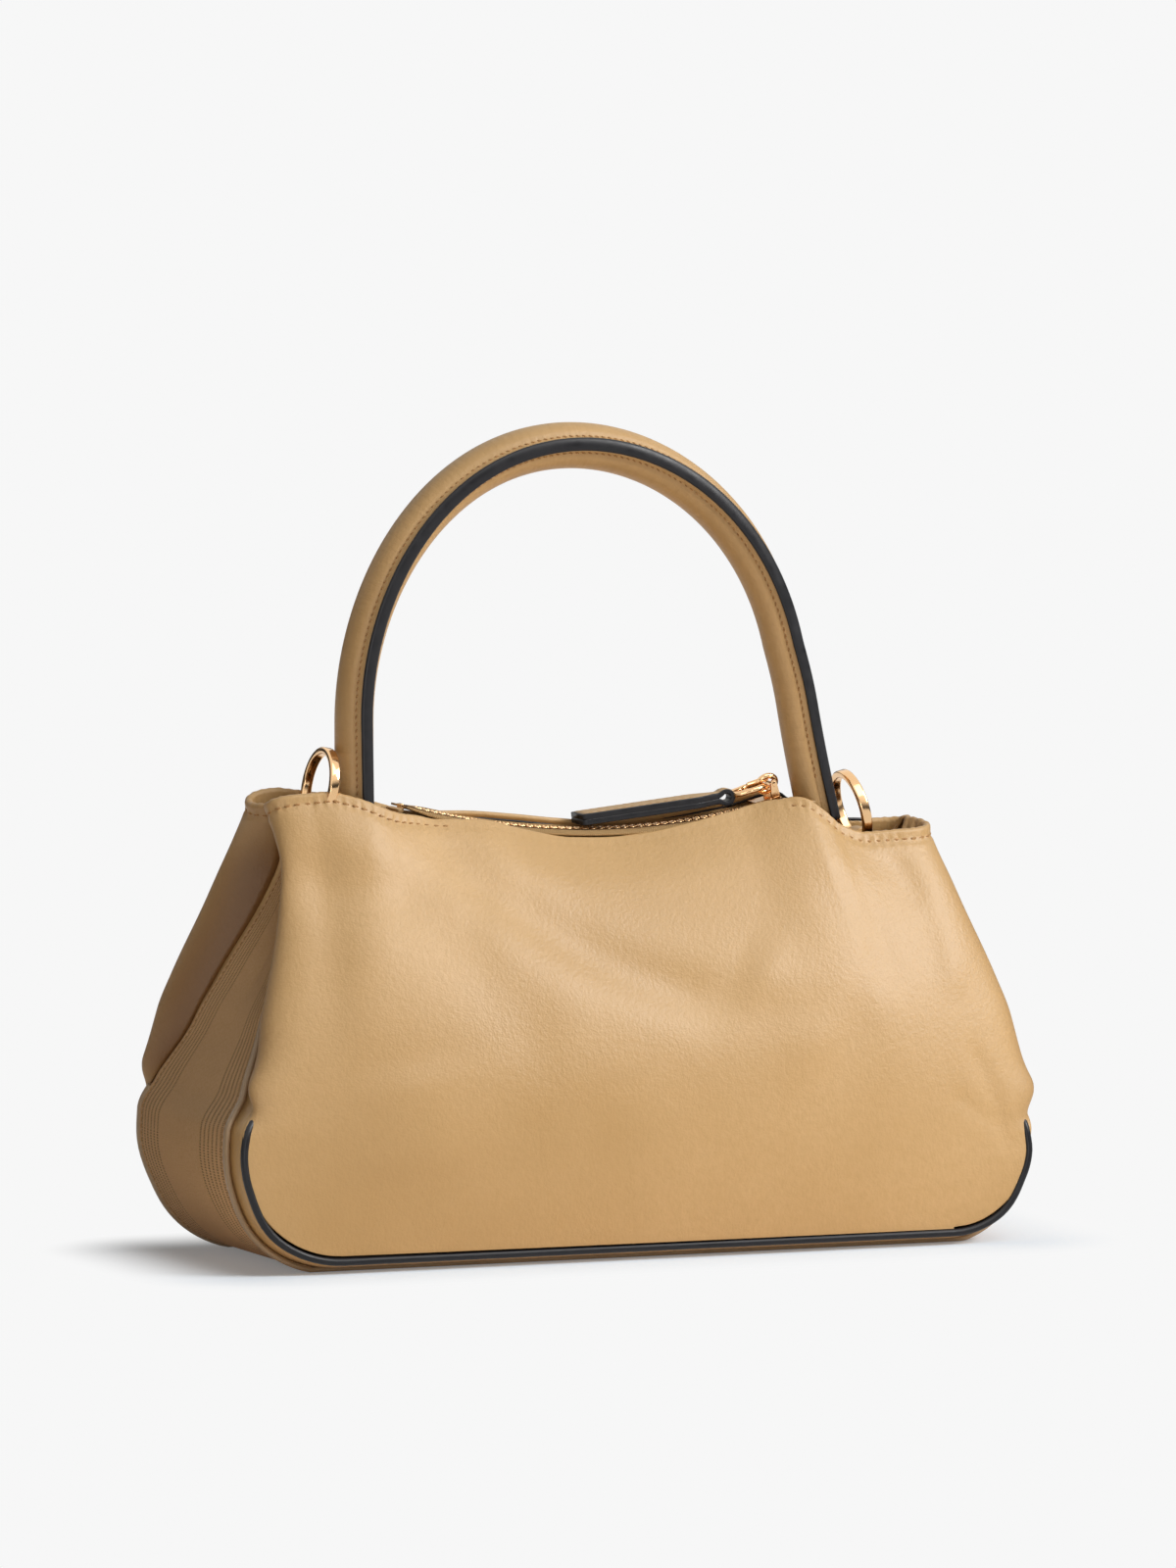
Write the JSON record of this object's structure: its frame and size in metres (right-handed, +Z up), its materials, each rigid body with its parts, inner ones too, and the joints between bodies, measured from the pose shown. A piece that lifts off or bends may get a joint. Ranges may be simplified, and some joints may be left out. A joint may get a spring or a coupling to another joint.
{
  "type": "handbag",
  "caption": "Soft leather handbag with a zip top, a rolled top handle, strap rings at both ends and a woven band round its gusset and base.",
  "frame": {"origin": "centre of the bag's overall box, on the surface that the base stands on", "axes": "+X along the bag, towards the end where the closed zip's slider is; +Y towards the back; +Z up"},
  "size_m": [0.2624, 0.0968, 0.2509],
  "materials": {
    "leather": "smooth tan leather with a fine grain",
    "painted_edge": "satin black edge paint on cut leather",
    "woven_band": "matt brown webbing with ribbed borders",
    "lining": "plain dark cloth",
    "board": "pressed fibre board",
    "zip_metal": "bright brass",
    "gold_metal": "polished pale gold plating",
    "zip_tape": "tan herringbone tape",
    "core_cord": "twisted cotton cord"
  },
  "bodies": {
    "bag": {"front_panel": "leather", "back_panel": "leather", "gusset": "leather", "woven_band": "woven_band", "front_seam_edge": "painted_edge", "back_seam_edge": "painted_edge", "lining": "lining", "base_board": "board", "pocket_floor_left": "leather", "pocket_floor_right": "leather", "handle_anchor_left": "leather", "handle_anchor_right": "leather", "ring_tab_left": "leather", "ring_tab_right": "leather", "zip_stop_closed_end": "zip_metal", "zip_stop_front": "zip_metal", "zip_stop_back": "zip_metal", "zip_stay_left": "leather", "zip_stay_right": "leather"},
    "slider": {"zip_slider": "gold_metal"},
    "upper_link": {"pull_link_upper": "gold_metal"},
    "lower_link": {"pull_link_lower": "gold_metal"},
    "tab": {"pull_tab": "leather"},
    "front_row": {"zip_teeth_front": "zip_metal", "zip_tape_front": "zip_tape"},
    "back_row": {"zip_teeth_back": "zip_metal", "zip_tape_back": "zip_tape"},
    "handle": {"handle_leather": "leather", "handle_core": "core_cord", "handle_edge": "painted_edge", "handle_tongue_left": "leather", "handle_tongue_right": "leather"},
    "left_ring": {"ring_left": "gold_metal"},
    "right_ring": {"ring_right": "gold_metal"}
  },
  "joints": [
    {"name": "zip_slide", "type": "hinge", "parent": "bag", "child": "slider", "pos_m": [0.008, 0, 0.3669], "axis": [0, 1, 0], "range_deg": [0, 27]},
    {"name": "puller_lift", "type": "hinge", "parent": "slider", "child": "upper_link", "pos_m": [0.06121, 0, 0.13886], "axis": [0, 1, 0], "range_deg": [0, 81]},
    {"name": "link_swing", "type": "hinge", "parent": "upper_link", "child": "lower_link", "pos_m": [0.05908, 0, 0.13852], "axis": [0, 1, 0], "range_deg": [0, 25]},
    {"name": "tab_swing", "type": "hinge", "parent": "lower_link", "child": "tab", "pos_m": [0.04653, 0, 0.13516], "axis": [0, 1, 0], "range_deg": [0, 40]},
    {"name": "zip_row_front", "type": "slide", "parent": "bag", "child": "front_row", "axis": [0, -1, 0], "range_m": [0, 0.0023], "deforming": ["zip_teeth_front", "zip_tape_front"]},
    {"name": "zip_row_back", "type": "slide", "parent": "bag", "child": "back_row", "axis": [0, 1, 0], "range_m": [0, 0.0023], "deforming": ["zip_teeth_back", "zip_tape_back"]},
    {"name": "handle_tilt", "type": "hinge", "parent": "bag", "child": "handle", "pos_m": [0, 0, 0.134], "axis": [1, 0, 0], "range_deg": [-20, 20], "stiffness_Nm_per_rad": 0.25},
    {"name": "left_ring_swing", "type": "hinge", "parent": "bag", "child": "left_ring", "pos_m": [-0.0876, 0, 0.1324], "axis": [0, 1, 0], "range_deg": [-50, 0]},
    {"name": "right_ring_swing", "type": "hinge", "parent": "bag", "child": "right_ring", "pos_m": [0.091, 0, 0.1198], "axis": [0, 1, 0], "range_deg": [0, 40]}
  ],
  "couplings": [
    {"joint": "puller_lift", "follows": "zip_slide", "ratio": 3},
    {"joint": "zip_row_front", "follows": "zip_slide", "m_per_rad": 0.0048},
    {"joint": "zip_row_back", "follows": "zip_slide", "m_per_rad": 0.0048}
  ]
}
